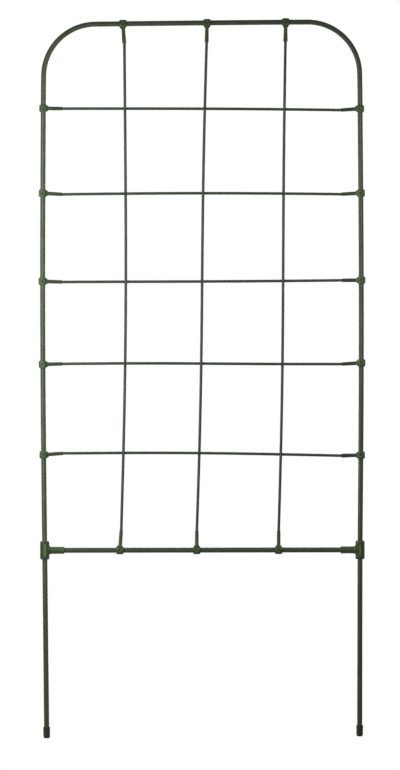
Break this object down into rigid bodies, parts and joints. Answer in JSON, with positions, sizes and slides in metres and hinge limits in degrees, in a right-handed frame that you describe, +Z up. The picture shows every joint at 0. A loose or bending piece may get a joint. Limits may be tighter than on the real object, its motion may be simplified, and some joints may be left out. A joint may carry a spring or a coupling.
{
  "type": "plant trellis",
  "caption": "Flat garden trellis: a bent tube arch on leg stakes with a cross bar, and a woven grid of thin rods held in snap clips, for climbing plants to grow through.",
  "frame": {"origin": "midway between the legs on the soil line, the depth to which the stakes are pushed in", "axes": "+X across the width, to the right seen from the front; -Y out of the front; +Z up"},
  "size_m": [0.492, 0.0142, 1.0834],
  "materials": {
    "coated_tube": "semi-gloss dark green plastic coat on steel tube",
    "coated_rod": "satin dark green plastic coat on steel wire",
    "moulded_green": "moulded dark green plastic with a soft sheen",
    "foot_cap": "moulded black-green plastic"
  },
  "bodies": {
    "root": {"frame_arch": "coated_tube", "lower_bar": "coated_tube", "left_leg": "coated_tube", "right_leg": "coated_tube", "left_tee": "moulded_green", "right_tee": "moulded_green", "left_foot_cap": "foot_cap", "right_foot_cap": "foot_cap", "top_clip_1": "moulded_green", "top_clip_2": "moulded_green", "top_clip_3": "moulded_green", "bottom_clip_1": "moulded_green", "bottom_clip_2": "moulded_green", "bottom_clip_3": "moulded_green", "left_clip_1": "moulded_green", "left_clip_2": "moulded_green", "left_clip_3": "moulded_green", "left_clip_4": "moulded_green", "left_clip_5": "moulded_green", "right_clip_1": "moulded_green", "right_clip_2": "moulded_green", "right_clip_3": "moulded_green", "right_clip_4": "moulded_green", "right_clip_5": "moulded_green", "row_rod_1": "coated_rod", "row_rod_2": "coated_rod", "row_rod_3": "coated_rod", "row_rod_4": "coated_rod", "row_rod_5": "coated_rod", "column_rod_1": "coated_rod", "column_rod_2": "coated_rod", "column_rod_3": "coated_rod"}
  },
  "joints": []
}
